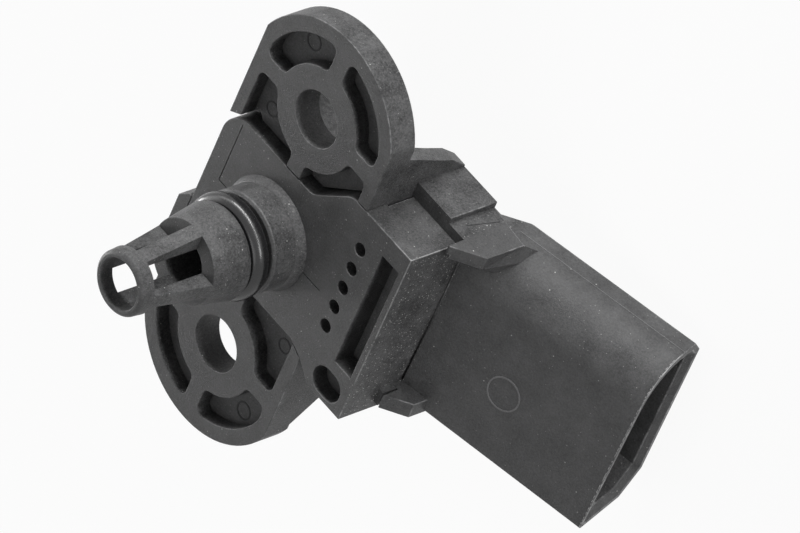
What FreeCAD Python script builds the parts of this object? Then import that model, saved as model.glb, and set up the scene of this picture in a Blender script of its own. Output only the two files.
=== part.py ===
import FreeCAD, Part
import math
import os
import Sketcher

# Manifold pressure sensor. The nozzle points along +Z and the connector along +X.
# The origin lies on the nozzle's axis, in the plane of the ears' front faces. Millimetres.

SIZES = {
    # how far a feature runs into or past the solid that it joins or cuts
    "overlap": 1.0,
    # mounting ears
    "ear_pitch": 36.0, "ear_radius": 12.0, "ear_flat": 11.17, "ear_thick": 3.74,
    "ear_hole": 3.4, "hub_radius": 6.4, "pocket_radius": 10.0, "pocket_flat": 9.5,
    "pocket_depth": 2.0, "spoke": 2.3, "pocket_corner": 0.9,
    "cut_x": 9.58, "cut_y": 9.62, "cut_drop": 1.42, "cut_end_x": 8.78, "cut_end_y": 10.56,
    # body behind the ears
    "body_half": 9.5, "body_back": 15.4, "recess_depth": 3.2, "fit": 0.1,
    "side_x": 19.28, "side_top": 14.04, "side_low": 11.46, "step_depth": 7.0,
    "gusset_thick": 2.1, "gusset_top": 20.95, "gusset_mid": 19.1, "gusset_mid_depth": 8.5,
    "gusset_turn": 18.0, "gusset_turn_depth": 11.6, "gusset_end": 14.2, "wall_end": 16.3,
    "gusset_low": 18.76, "gusset_step": 3.0,
    "block_x": 17.1, "block_top": 16.1, "block_end": 14.2,
    "lug_top": 15.35, "lug_under": 13.6, "lug_tip": 3.19, "lug_reach": 23.25,
    "lug_length": 8.0, "lug_end": 13.4, "lug_notch": 0.25, "lug_tip_depth": 4.7,
    "lug_cut_depth": 7.7, "lug_low_top": 8.25, "lug_low": 10.35, "lug_short": 0.3,
    "lug_rise": 0.45, "seat_past": 0.22,
    "stub_reach": 13.0, "stub_top": 4.9, "stub_low": 12.0, "stub_bevel": 1.3,
    # connector shroud
    "shroud_tilt": 14.6, "shroud_depth": 8.3, "shroud_length": 26.4, "shroud_root": 2.5,
    "shroud_low": 9.8, "shroud_high": 14.0, "shroud_thick": 11.1, "shroud_round": 5.6,
    "shroud_bevel": 2.0, "shroud_bow": 0.8, "shroud_wall": 1.25, "socket_depth": 17.5,
    "lead_in": 0.8, "shroud_draft": 0.5, "low_bevel": 1.5,
    "bevel_inset": 0.4, "root_back": 1.9, "root_reach": 4.2, "root_drop": 5.8,
    "seam_width": 0.22, "seam_depth": 0.6,
    # inner space and cover
    "space_left": 9.2, "space_right": 15.4, "space_half": 7.6, "space_neck": 10.6,
    "space_low": 8.8, "space_high": 12.0, "space_top": 5.2, "space_step": 8.5,
    "step_from": 9.0, "cover_margin": 1.0, "cover_thick": 1.3, "cover_gap": 0.4,
    "post_radius": 0.8, "post_margin": 0.5, "post_root": 0.4, "cover_sink": 0.2,
    # port plate and nozzle
    "plate_top": 9.5, "plate_low": 8.4, "plate_corner": 3.3, "jog_from": 3.7, "jog_to": 8.7, "jog_ratio": 5.0,
    "low_jog_from": 9.0, "low_jog_to": 13.6,
    "flare_radius": 6.72, "flare_height": 1.0, "boss_radius": 6.15, "boss_height": 4.45,
    "groove_radius": 3.72, "lip_low": 7.45, "lip_high": 8.0, "lip_radius": 5.82,
    "flare_rim": 0.1, "flare_edge": 0.42, "boss_edge": 0.3, "lip_land": 0.1,
    "cone_top": 20.25, "cone_radius": 3.84, "collar_radius": 4.0, "collar_step": 0.15,
    "collar_draft": 0.12, "tip_height": 22.2, "tip_radius": 3.5, "tip_bevel": 0.35,
    "bore_radius": 3.05, "bore_flare": 0.1,
    "window_low": 12.5, "rib": 2.0,
    "window_out": 6.5, "pin_hole": 0.83, "pin_pitch": 3.04, "pin_x": 12.48,
    "pin_y": 9.27, "pin_depth": 4.5, "slot_x": 15.56, "slot_width": 2.85,
    "slot_low": 5.6, "slot_high": 11.2, "slot_depth": 2.9,
    "eye_x": 15.4, "eye_y": 9.05, "eye_reach": 0.9, "eye_radius": 1.85, "eye_depth": 2.25,
    "plate_jog": 1.1, "jog_round": 2.2,
    "crease_x": 8.65, "crease_high": 8.8, "crease_low": 0.1, "crease_in": 6.5,
    "crease_out": 9.8, "crease_width": 0.12, "crease_depth": 0.15,
    # seal
    "ring_height": 5.95, "ring_centre": 5.04, "ring_section": 1.3, "ring_flat": 0.65,
    # board and cell
    "board_top": 9.3, "board_thick": 1.6, "board_gap": 0.4,
    "cell_radius": 3.7, "cell_wall": 0.9, "cell_height": 2.0, "base_size": 2.6,
    "base_height": 0.8, "chip_size": 1.9, "chip_height": 0.4, "gel_height": 1.5,
    "port_radius": 3.0, "bead_in": 4.6, "bead_out": 5.8, "bead_depth": 0.8,
    # terminals
    "blade_width": 2.8, "blade_thick": 0.8, "blade_pitch": 4.9, "blade_mid": 2.1,
    "blade_level": 5.55, "blade_tip": 20.0, "tail_x": 13.4, "tail_width": 1.0,
    "tail_hole": 0.7, "blade_run": 4.4, "tail_above": 0.6, "run_level": 12.85,
    "solder_radius": 1.1, "solder_height": 0.4,
    # thermistor
    "ntc_height": 6.8, "ntc_radius": 1.1, "ntc_length": 2.6, "ntc_shoulder": 0.66, "lead_radius": 0.2,
    "lead_half": 0.6, "lead_level": 6.0, "lead_x": 5.2,
}

NEAR = 1e-3

doc = FreeCAD.newDocument("pressure_sensor")
sheet = doc.addObject("Spreadsheet::Sheet", "Sizes")
for row, (name, value) in enumerate(SIZES.items(), start=1):
    sheet.set("A%d" % row, name)
    sheet.set("B%d" % row, str(value))
    sheet.setAlias("B%d" % row, name)
doc.recompute()


class Dim:
    """A length with its number and the matching text for a bound expression."""

    def __init__(self, value, text):
        self.value = float(value)
        self.text = text

    @staticmethod
    def of(other):
        return other if isinstance(other, Dim) else Dim(other, "%.6g" % other)

    def join(self, other, value, sign):
        return Dim(value, "(%s %s %s)" % (self.text, sign, other.text))

    def __add__(self, other):
        other = Dim.of(other)
        return self.join(other, self.value + other.value, "+")

    def __sub__(self, other):
        other = Dim.of(other)
        return self.join(other, self.value - other.value, "-")

    def __mul__(self, other):
        other = Dim.of(other)
        return self.join(other, self.value * other.value, "*")

    def __truediv__(self, other):
        other = Dim.of(other)
        return self.join(other, self.value / other.value, "/")

    def __radd__(self, other):
        return Dim.of(other) + self

    def __rsub__(self, other):
        return Dim.of(other) - self

    def __rmul__(self, other):
        return Dim.of(other) * self

    def __neg__(self):
        return Dim(-self.value, "(0 - %s)" % self.text)


class Sizes:
    """Every cell of the sheet as a Dim."""

    def __init__(self):
        for name, value in SIZES.items():
            setattr(self, name, Dim(value, "Sizes.%s" % name))


def root(dim):
    return Dim(math.sqrt(dim.value), "sqrt(%s)" % dim.text)


def sine(dim):
    return Dim(math.sin(math.radians(dim.value)), "sin(%s * 1 deg)" % dim.text)


def cosine(dim):
    return Dim(math.cos(math.radians(dim.value)), "cos(%s * 1 deg)" % dim.text)


def bind(item, prop, dim):
    """Binds a property to the sheet; a plain number is only set."""
    dim = Dim.of(dim)
    item.setExpression(prop, dim.text)


z = Sizes()


def new_body(name):
    body = doc.addObject("PartDesign::Body", name)
    body.Label = name
    return body


def new_sketch(body, name, role="XY_Plane", at=(0, 0, 0), tilt=None):
    """A sketch on one of the body's own planes, moved by at in the plane's own axes."""
    sketch = body.newObject("Sketcher::SketchObject", name)
    face = [item for item in body.Origin.OriginFeatures if item.Role == role][0]
    sketch.AttachmentSupport = [(face, "")]
    sketch.MapMode = "FlatFace"
    spot = [Dim.of(value) for value in at]
    turn = FreeCAD.Rotation(FreeCAD.Vector(1, 0, 0), tilt.value if tilt else 0)
    sketch.AttachmentOffset = FreeCAD.Placement(
        FreeCAD.Vector(*[value.value for value in spot]), turn)
    for axis, value in zip("xyz", spot):
        if value.value:
            bind(sketch, "AttachmentOffset.Base.%s" % axis, value)
    if tilt:
        bind(sketch, "AttachmentOffset.Rotation.Angle", tilt)
    return sketch


def pin_point(sketch, geo, pos, x, y):
    """Holds one point of a sketch at two bound coordinates."""
    for kind, dim, axis in (("DistanceX", x, -2), ("DistanceY", y, -1)):
        dim = Dim.of(dim)
        if dim.text == "0":
            sketch.addConstraint(Sketcher.Constraint("PointOnObject", geo, pos, axis))
            continue
        index = sketch.addConstraint(Sketcher.Constraint(kind, geo, pos, dim.value))
        bind(sketch, "Constraints[%d]" % index, dim)


def outline(sketch, points, arcs=None):
    """A closed outline. arcs gives, for a point's number, the radius, the rough centre
    and whether the run from that point to the next one turns anticlockwise. A radius of
    None is a half round, held by its centre's X instead."""
    arcs = arcs or {}
    points = [(Dim.of(x), Dim.of(y)) for x, y in points]
    places = [FreeCAD.Vector(x.value, y.value, 0) for x, y in points]
    first = sketch.GeometryCount
    ends = []
    for number, start in enumerate(places):
        stop = places[(number + 1) % len(places)]
        if number not in arcs:
            sketch.addGeometry(Part.LineSegment(start, stop))
            ends.append((1, 2))
            continue
        radius, centre, turns_left = arcs[number]
        centre = FreeCAD.Vector(*[Dim.of(value).value for value in centre], 0)
        low, high = (start, stop) if turns_left else (stop, start)
        angles = [math.atan2(p.y - centre.y, p.x - centre.x) for p in (low, high)]
        if angles[1] < angles[0]:
            angles[1] += 2 * math.pi
        reach = (start - centre).Length if radius is None else Dim.of(radius).value
        whole = Part.Circle(centre, FreeCAD.Vector(0, 0, 1), reach)
        sketch.addGeometry(Part.ArcOfCircle(whole, angles[0], angles[1]))
        ends.append((1, 2) if turns_left else (2, 1))
    for number, (x, y) in enumerate(points):
        after = (number + 1) % len(points)
        sketch.addConstraint(Sketcher.Constraint(
            "Coincident", first + number, ends[number][1], first + after, ends[after][0]))
        pin_point(sketch, first + number, ends[number][0], x, y)
    for number, (radius, centre, turns_left) in arcs.items():
        if radius is None:
            kind, held = ("DistanceX", first + number, 3), Dim.of(centre[0])
        else:
            kind, held = ("Radius", first + number), Dim.of(radius)
        index = sketch.addConstraint(Sketcher.Constraint(*kind, held.value))
        bind(sketch, "Constraints[%d]" % index, held)


def box(sketch, left, low, right, high):
    outline(sketch, [(left, low), (right, low), (right, high), (left, high)])


def circle(sketch, x, y, radius):
    x, y, radius = Dim.of(x), Dim.of(y), Dim.of(radius)
    shape = Part.Circle(FreeCAD.Vector(x.value, y.value, 0), FreeCAD.Vector(0, 0, 1), radius.value)
    geo = sketch.addGeometry(shape)
    pin_point(sketch, geo, 3, x, y)
    index = sketch.addConstraint(Sketcher.Constraint("Radius", geo, radius.value))
    bind(sketch, "Constraints[%d]" % index, radius)


def grow(kind, body, name, sketch, length, backwards=False):
    """A pad or a pocket; the change of volume is compared with what it should be."""
    before = body.Shape.Volume if body.Tip else 0.0
    item = body.newObject("PartDesign::%s" % kind, name)
    item.Profile = sketch
    item.Length = Dim.of(length).value
    bind(item, "Length", length)
    item.Reversed = backwards
    sketch.Visibility = False
    doc.recompute()
    change = body.Shape.Volume - before
    if (kind == "Pad" and change <= 0) or (kind == "Pocket" and change >= 0):
        raise RuntimeError("%s changes %s by %.3f" % (name, body.Label, change))
    return item


def pad(body, name, sketch, length, backwards=False):
    return grow("Pad", body, name, sketch, length, backwards)


def pocket(body, name, sketch, length, backwards=False):
    return grow("Pocket", body, name, sketch, length, backwards)


def turned(body, name, sketch):
    """A solid of revolution about the sketch's own upright axis."""
    item = body.newObject("PartDesign::Revolution", name)
    item.Profile = sketch
    item.ReferenceAxis = (sketch, ["V_Axis"])
    item.Angle = 360
    sketch.Visibility = False
    doc.recompute()
    return item


def round_polar(body, name, feature, count):
    """Repeats a feature around the nozzle's axis."""
    item = body.newObject("PartDesign::PolarPattern", name)
    item.Originals = [feature]
    axis = [part for part in body.Origin.OriginFeatures if part.Role == "Z_Axis"][0]
    item.Axis = (axis, [""])
    item.Angle = 360
    item.Occurrences = count
    body.Tip = item
    doc.recompute()
    return item


def soften(kind, body, name, radius, wanted):
    """Rounds or bevels the edges of the body for which wanted says yes."""
    base = body.Tip
    names = ["Edge%d" % (number + 1) for number, edge in enumerate(base.Shape.Edges)
             if wanted(edge)]
    if not names:
        raise RuntimeError("%s finds no edge" % name)
    item = body.newObject("PartDesign::%s" % kind, name)
    item.Base = (base, names)
    prop = "Radius" if kind == "Fillet" else "Size"
    setattr(item, prop, Dim.of(radius).value)
    bind(item, prop, radius)
    doc.recompute()
    if "Invalid" in item.State:
        raise RuntimeError("%s fails" % name)
    return item


def upright(edge, low, high):
    """Whether an edge runs straight along Z between two heights."""
    if len(edge.Vertexes) != 2:
        return False
    ends = [vertex.Point for vertex in edge.Vertexes]
    heights = sorted(point.z for point in ends)
    level = abs(ends[0].x - ends[1].x) + abs(ends[0].y - ends[1].y)
    return level < NEAR and abs(heights[0] - low) < NEAR and abs(heights[1] - high) < NEAR


half_pitch = z.ear_pitch / 2
tilt_sin = sine(z.shroud_tilt)
tilt_cos = cosine(z.shroud_tilt)


# housing
housing = new_body("housing")

# both ears in one flat outline: two flats joined by an arc about each hole
arc_reach = half_pitch + root(z.ear_radius * z.ear_radius - z.ear_flat * z.ear_flat)
sketch = new_sketch(housing, "ear_outline", at=(0, 0, -z.ear_thick))
outline(sketch, [(z.ear_flat, -arc_reach), (z.ear_flat, arc_reach),
                 (-z.ear_flat, arc_reach), (-z.ear_flat, -arc_reach)],
        {1: (z.ear_radius, (0, half_pitch.value), True),
         3: (z.ear_radius, (0, -half_pitch.value), True)})
pad(housing, "ears", sketch, z.ear_thick)

# body behind the ears, and its deeper side under the port plate's block
sketch = new_sketch(housing, "body_outline", at=(0, 0, -z.body_back))
box(sketch, -z.ear_flat, -z.body_half, z.ear_flat, z.body_half)
pad(housing, "body_block", sketch, z.body_back - z.recess_depth)
sketch = new_sketch(housing, "side_outline", at=(0, 0, -z.body_back))
box(sketch, z.step_from, -z.side_low, z.side_x, z.side_top)
pad(housing, "side_block", sketch, z.body_back - z.step_depth)

# walls that brace each ear, in the planes of its two flats
for side, inner in (("right", z.ear_flat - z.gusset_thick), ("left", -z.ear_flat)):
    sketch = new_sketch(housing, "upper_gusset_outline_" + side, "YZ_Plane", at=(0, 0, inner))
    outline(sketch, [(z.body_half - z.overlap, -z.ear_thick / 2), (z.gusset_top, -z.ear_thick / 2),
                     (z.gusset_top, -z.ear_thick), (z.gusset_mid, -z.gusset_mid_depth),
                     (z.gusset_turn, -z.gusset_turn_depth), (z.wall_end, -z.gusset_end),
                     (z.body_half - z.overlap, -z.gusset_end)])
    pad(housing, "upper_gusset_" + side, sketch, z.gusset_thick)
    sketch = new_sketch(housing, "lower_gusset_outline_" + side, "YZ_Plane", at=(0, 0, inner))
    outline(sketch, [(z.overlap - z.body_half, -z.ear_thick / 2), (z.overlap - z.body_half, -z.gusset_end),
                     (-z.side_low - z.overlap, -z.gusset_end),
                     (-z.gusset_low, -z.ear_thick - z.gusset_step),
                     (-z.gusset_low - z.gusset_step, -z.ear_thick),
                     (-z.gusset_low - z.gusset_step, -z.ear_thick / 2)])
    pad(housing, "lower_gusset_" + side, sketch, z.gusset_thick)

# raised block beside the upper ear
sketch = new_sketch(housing, "block_outline", at=(0, 0, -z.block_end))
box(sketch, z.ear_flat - z.gusset_thick / 2, z.side_top - z.overlap, z.block_x, z.block_top)
pad(housing, "raised_block", sketch, z.block_end - z.step_depth)

# flat lugs above and below the connector, each with one corner cut at 45 degrees
lugs = (("upper", z.lug_under, z.lug_top, z.lug_reach, Dim.of(0)),
        ("lower", -z.lug_low, -z.lug_low_top, z.lug_reach - z.lug_short, z.lug_rise))
for which, low, high, reach, rise in lugs:
    tip = reach - z.lug_tip
    sketch = new_sketch(housing, which + "_lug_outline", "XZ_Plane", at=(0, 0, -high))
    outline(sketch, [(reach - z.lug_length, -z.step_depth), (tip - z.lug_notch, -z.step_depth),
                     (tip - z.lug_notch, rise - z.lug_tip_depth),
                     (tip, rise - z.lug_tip_depth), (reach, rise - z.lug_cut_depth),
                     (reach, -z.lug_end), (reach - z.lug_length, -z.block_end)])
    pad(housing, which + "_lug", sketch, high - low)

# short stub on the side away from the connector
sketch = new_sketch(housing, "stub_outline", at=(0, 0, -z.ear_thick))
stub_root = z.overlap - z.ear_flat
outline(sketch, [(stub_root, -z.stub_low), (stub_root, -z.stub_top),
                 (z.stub_bevel - z.stub_reach, -z.stub_top),
                 (-z.stub_reach, -z.stub_top - z.stub_bevel),
                 (-z.stub_reach, -z.stub_low)])
pad(housing, "stub", sketch, z.ear_thick)

# connector shroud: its front face leans back from the side face, and its upper side has
# the mould's draft, so the section grows towards the mouth
def shroud_section(name, at, rise, inset):
    """The shroud's section at one place, its upper side raised and its wall moved inwards."""
    sketch = new_sketch(housing, name, "YZ_Plane", at=at, tilt=z.shroud_tilt)
    high = z.shroud_high + rise
    middle = high - z.shroud_round
    depth = z.shroud_bow + z.shroud_round
    bevel = z.shroud_bevel + inset * z.bevel_inset
    outline(sketch, [(inset - z.shroud_low, -inset), (middle, -z.shroud_bow - inset),
                     (high - inset, -depth), (high - inset, bevel - z.shroud_thick),
                     (high - bevel, inset - z.shroud_thick),
                     (bevel * z.low_bevel - z.shroud_low, inset - z.shroud_thick),
                     (inset - z.shroud_low, bevel * z.low_bevel - z.shroud_thick)],
            {1: (z.shroud_round - inset, (middle.value, -depth.value), False)})
    return sketch


no_inset = Dim.of(0)
root_at = (0, z.shroud_root * tilt_sin - z.shroud_depth, z.side_x - z.shroud_root * tilt_cos)
mouth_at = (0, -z.shroud_depth - z.shroud_length * tilt_sin,
            z.side_x + z.shroud_length * tilt_cos)
shroud = housing.newObject("PartDesign::AdditiveLoft", "shroud")
shroud.Profile = shroud_section("shroud_root_section", root_at, no_inset, no_inset)
shroud.Sections = [shroud_section("shroud_mouth_section", mouth_at, z.shroud_draft, no_inset)]
shroud.Ruled = True
doc.recompute()

# underside of the shroud's root, sloping out from the back of the body
sketch = new_sketch(housing, "root_outline", "XZ_Plane", at=(0, 0, -z.shroud_high - z.overlap))
outline(sketch, [(z.space_left, -z.body_back), (z.side_x - z.root_back, -z.body_back),
                 (z.side_x + z.root_reach, -z.body_back - z.root_drop),
                 (z.space_left, -z.body_back - z.root_drop)])
pocket(housing, "root_slope", sketch, z.shroud_high + z.shroud_low + z.overlap * 2, True)

# socket with a lead-in bevel round its mouth
sketch = shroud_section("socket_outline", mouth_at, no_inset, z.shroud_wall)
pocket(housing, "socket", sketch, z.socket_depth)


def mouth_opening(body):
    """The middles of the edges round the socket's opening, in the mouth's plane."""
    lean = math.radians(z.shroud_tilt.value)
    along = FreeCAD.Vector(math.cos(lean), 0, -math.sin(lean))
    corner = FreeCAD.Vector(z.side_x.value, 0, -z.shroud_depth.value)
    for face in body.Shape.Faces:
        ends = [(vertex.Point - corner).dot(along) for vertex in face.Vertexes]
        if max(abs(end - z.shroud_length.value) for end in ends) < NEAR:
            return [edge.CenterOfMass for wire in face.Wires
                    if not wire.isSame(face.OuterWire) for edge in wire.Edges]
    raise RuntimeError("the socket's mouth isn't found")


opening = mouth_opening(housing)
soften("Chamfer", housing, "mouth_bevel", z.lead_in,
       lambda edge: any((edge.CenterOfMass - middle).Length < NEAR for middle in opening))

# fine seam under the side of the body, where the shroud's front face starts
sketch = new_sketch(housing, "seam_outline", at=(0, 0, -z.shroud_depth - z.seam_depth))
box(sketch, z.side_x - z.seam_width, -z.lug_low_top, z.side_x + z.seam_width / 2, z.lug_under)
pocket(housing, "seam", sketch, z.seam_depth + z.seam_width, True)

# pockets of one ear; the other ear's are the same turned half round
inner_y = root(z.hub_radius * z.hub_radius - z.spoke * z.spoke / 4)
outer_y = root(z.pocket_radius * z.pocket_radius - z.spoke * z.spoke / 4)
flat_y = root(z.pocket_radius * z.pocket_radius - z.pocket_flat * z.pocket_flat)
half_spoke = z.spoke / 2
hub = (0, half_pitch.value)
sketch = new_sketch(housing, "pocket_outlines")
outline(sketch, [(half_spoke, half_pitch + inner_y), (inner_y, half_pitch + half_spoke),
                 (z.pocket_flat, half_pitch + half_spoke), (z.pocket_flat, half_pitch + flat_y),
                 (half_spoke, half_pitch + outer_y)],
        {0: (z.hub_radius, hub, False), 3: (z.pocket_radius, hub, True)})
outline(sketch, [(-half_spoke, half_pitch + inner_y), (-half_spoke, half_pitch + outer_y),
                 (-z.pocket_flat, half_pitch + flat_y), (-z.pocket_flat, half_pitch + half_spoke),
                 (-inner_y, half_pitch + half_spoke)],
        {1: (z.pocket_radius, hub, True), 4: (z.hub_radius, hub, False)})
outline(sketch, [(half_spoke, half_pitch - inner_y), (half_spoke, z.plate_low),
                 (z.pocket_flat, z.plate_low), (z.pocket_flat, half_pitch - half_spoke),
                 (inner_y, half_pitch - half_spoke)],
        {4: (z.hub_radius, hub, False)})
outline(sketch, [(-half_spoke, half_pitch - inner_y), (-inner_y, half_pitch - half_spoke),
                 (-z.pocket_flat, half_pitch - half_spoke), (-z.pocket_flat, z.plate_low),
                 (-half_spoke, z.plate_low)],
        {0: (z.hub_radius, hub, False)})
ear_pockets = pocket(housing, "ear_pockets", sketch, z.pocket_depth)
round_polar(housing, "ear_pockets_pair", ear_pockets, 2)


def pocket_corner(edge):
    """Whether an edge is an upright corner of an ear pocket, clear of the port plate."""
    if not upright(edge, -z.pocket_depth.value, 0.0):
        return False
    point = edge.Vertexes[0].Point
    return abs(point.y) > half_pitch.value - z.hub_radius.value - z.overlap.value


soften("Fillet", housing, "pocket_rounds", z.pocket_corner, pocket_corner)

# the wall of the upper ear ends short of the port plate's rounded corner
sketch = new_sketch(housing, "open_corner_outline")
outline(sketch, [(-z.ear_flat - z.overlap, z.plate_top - z.plate_corner),
                 (z.plate_corner - z.ear_flat, z.plate_top - z.plate_corner),
                 (z.plate_corner - z.ear_flat, z.plate_top), (-z.cut_end_x, z.cut_end_y),
                 (-z.cut_x, z.cut_y), (-z.ear_flat - z.overlap, z.cut_y - z.cut_drop)])
pocket(housing, "open_corner", sketch, z.recess_depth)

# screw holes
sketch = new_sketch(housing, "ear_hole_outlines")
circle(sketch, 0, half_pitch, z.ear_hole)
circle(sketch, 0, -half_pitch, z.ear_hole)
pocket(housing, "ear_holes", sketch, z.ear_thick + z.overlap)


def plate_outline(sketch, gap):
    """The port plate's outline, grown by a gap all round."""
    corner = z.plate_corner
    outline(sketch, [(-z.ear_flat - gap, -z.plate_low - gap), (z.low_jog_from, -z.plate_low - gap),
                     (z.ear_flat + gap, -z.plate_low - z.plate_jog - gap),
                     (z.low_jog_to, -z.side_low - gap), (z.side_x + gap, -z.side_low - gap),
                     (z.side_x + gap, z.side_top + gap), (z.jog_to, z.side_top + gap),
                     (z.jog_from - gap * z.jog_ratio, z.plate_top + gap),
                     (corner - z.ear_flat, z.plate_top + gap),
                     (-z.ear_flat - gap, z.plate_top - corner)],
            {8: (corner + gap, (-z.ear_flat.value + corner.value,
                                z.plate_top.value - corner.value), True)})


# seat of the port plate, and the port through the wall behind it
sketch = new_sketch(housing, "seat_outline")
plate_outline(sketch, z.fit)
pocket(housing, "plate_seat", sketch, z.recess_depth)
sketch = new_sketch(housing, "corner_outline")
box(sketch, z.ear_flat + z.fit, -z.side_low - z.overlap,
    z.lug_reach - z.lug_tip + z.seat_past, z.side_top + z.fit)
pocket(housing, "block_seat", sketch, z.step_depth)
sketch = new_sketch(housing, "port_outline")
circle(sketch, 0, 0, z.port_radius)
pocket(housing, "port", sketch, z.space_top + z.overlap)
sketch = new_sketch(housing, "bead_groove_outline", at=(0, 0, -z.recess_depth))
circle(sketch, 0, 0, z.bead_in)
circle(sketch, 0, 0, z.bead_out)
pocket(housing, "bead_groove", sketch, z.bead_depth)


def space_outline(sketch, margin):
    """The inner space's outline, wider beside the connector, grown by a margin."""
    neck = z.space_neck - margin
    half = z.space_half + margin
    low = z.space_low + margin
    high = z.space_high + margin
    outline(sketch, [(-z.space_left - margin, -half), (neck, -half), (neck, -low),
                     (z.space_right + margin, -low), (z.space_right + margin, high),
                     (neck, high), (neck, half), (-z.space_left - margin, half)])


# inner space, open to the back, deeper in front of the cell
sketch = new_sketch(housing, "space_outline", at=(0, 0, -z.body_back))
space_outline(sketch, Dim.of(0))
pocket(housing, "space", sketch, z.body_back - z.space_step, True)
sketch = new_sketch(housing, "front_space_outline", at=(0, 0, -z.space_step))
box(sketch, -z.space_left, -z.space_half, z.step_from, z.space_half)
pocket(housing, "front_space", sketch, z.space_step - z.space_top, True)
sketch = new_sketch(housing, "cover_seat_outline", at=(0, 0, -z.body_back))
space_outline(sketch, z.cover_margin)
pocket(housing, "cover_seat", sketch, z.cover_thick, True)

# posts that the board rests on
inset = z.post_radius + z.post_margin
corner_posts = {
    "left_posts": (z.space_top, [(inset - z.space_left, inset - z.space_half),
                                 (inset - z.space_left, z.space_half - inset)]),
    "right_posts": (z.space_step, [(z.space_neck + inset, inset - z.space_low),
                                   (z.space_neck + inset, z.space_high - inset)]),
}
for name, (ceiling, spots) in corner_posts.items():
    sketch = new_sketch(housing, name + "_outline", at=(0, 0, -z.board_top))
    for x, y in spots:
        circle(sketch, x, y, z.post_radius)
    pad(housing, name, sketch, z.board_top - ceiling + z.post_root)

# openings for the four terminals, along the shroud
blade_rows = [z.blade_mid + z.blade_pitch * step for step in (-1.5, -0.5, 0.5, 1.5)]
sketch = new_sketch(housing, "terminal_openings_outline", "YZ_Plane", tilt=z.shroud_tilt,
                    at=(0, -z.shroud_depth - (z.shroud_length - z.socket_depth) * tilt_sin,
                        z.side_x + (z.shroud_length - z.socket_depth) * tilt_cos))
for y in blade_rows:
    box(sketch, y - z.blade_width / 2, -z.blade_level - z.blade_thick / 2,
        y + z.blade_width / 2, z.blade_thick / 2 - z.blade_level)
pocket(housing, "terminal_openings", sketch, z.shroud_length - z.socket_depth + z.blade_run)


# port plate
port_plate = new_body("port_plate")
sketch = new_sketch(port_plate, "plate_sheet_outline", at=(0, 0, -z.recess_depth))
plate_outline(sketch, 0)
pad(port_plate, "plate_sheet", sketch, z.recess_depth)
sketch = new_sketch(port_plate, "plate_block_outline", at=(0, 0, -z.step_depth))
box(sketch, z.ear_flat + z.fit * 2, -z.side_low, z.side_x, z.side_top)
pad(port_plate, "plate_block", sketch, z.step_depth - z.recess_depth / 2)

# boss, seal groove, lip, cone and collar in one turned profile
sketch = new_sketch(port_plate, "nozzle_profile", "XZ_Plane")
outline(sketch, [(z.bore_radius, -z.recess_depth / 2), (z.flare_radius, -z.recess_depth / 2),
                 (z.flare_radius, z.flare_rim), (z.flare_radius - z.flare_edge, z.flare_height),
                 (z.boss_radius, z.flare_height + z.flare_rim),
                 (z.boss_radius, z.boss_height - z.boss_edge),
                 (z.boss_radius - z.boss_edge, z.boss_height), (z.groove_radius, z.boss_height),
                 (z.groove_radius, z.lip_low), (z.lip_radius - z.lip_land, z.lip_low),
                 (z.lip_radius, z.lip_high), (z.cone_radius, z.cone_top),
                 (z.collar_radius, z.cone_top + z.collar_step),
                 (z.collar_radius - z.collar_draft, z.tip_height - z.tip_bevel),
                 (z.tip_radius, z.tip_height),
                 (z.bore_radius + z.bore_flare, z.tip_height),
                 (z.bore_radius, z.tip_height - z.bore_flare)])
turned(port_plate, "nozzle", sketch)
sketch = new_sketch(port_plate, "bore_outline", at=(0, 0, z.boss_height))
circle(sketch, 0, 0, z.bore_radius)
pocket(port_plate, "bore", sketch, z.boss_height + z.recess_depth + z.overlap)

# four windows in the cone, with straight ribs left between them
sketch = new_sketch(port_plate, "window_outline", at=(0, 0, z.window_low))
box(sketch, z.rib / 2, z.rib / 2, z.window_out, z.window_out)
window = pocket(port_plate, "window", sketch, z.cone_top - z.window_low, True)
round_polar(port_plate, "windows", window, 4)

# a row of small blind holes, a long blind slot and a blind eye
PIN_HOLES = 5
sketch = new_sketch(port_plate, "pin_hole_outline")
circle(sketch, z.pin_x, z.pin_y, z.pin_hole)
pin_hole = pocket(port_plate, "pin_hole", sketch, z.pin_depth)
row_of = port_plate.newObject("PartDesign::LinearPattern", "pin_holes")
row_of.Originals = [pin_hole]
row_of.Direction = (sketch, ["V_Axis"])
row_of.Reversed = True
row_of.Occurrences = PIN_HOLES
row_of.Length = z.pin_pitch.value * (PIN_HOLES - 1)
bind(row_of, "Length", z.pin_pitch * (PIN_HOLES - 1))
port_plate.Tip = row_of
doc.recompute()
sketch = new_sketch(port_plate, "slot_outline")
box(sketch, z.slot_x, -z.slot_low, z.slot_x + z.slot_width, z.slot_high)
pocket(port_plate, "slot", sketch, z.slot_depth)
sketch = new_sketch(port_plate, "eye_outline")
right = z.eye_x + z.eye_reach
outline(sketch, [(z.eye_x, -z.eye_y - z.eye_radius), (right, -z.eye_y - z.eye_radius),
                 (right, z.eye_radius - z.eye_y), (z.eye_x, z.eye_radius - z.eye_y)],
        {1: (None, (right, -z.eye_y), True), 3: (None, (z.eye_x, -z.eye_y), True)})
pocket(port_plate, "eye", sketch, z.eye_depth)

# fine mould creases that run out from the flare
sketch = new_sketch(port_plate, "crease_outline")
far = z.crease_x + z.crease_width
outline(sketch, [(-z.crease_in, z.crease_low), (-z.crease_in, z.crease_low + z.crease_width),
                 (-z.crease_x, z.crease_low + z.crease_width), (-z.crease_x, z.crease_high),
                 (-far, z.crease_high), (-far, z.crease_low)])
box(sketch, z.crease_in, z.crease_low, z.crease_out, z.crease_low + z.crease_width)
pocket(port_plate, "creases", sketch, z.crease_depth)


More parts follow.
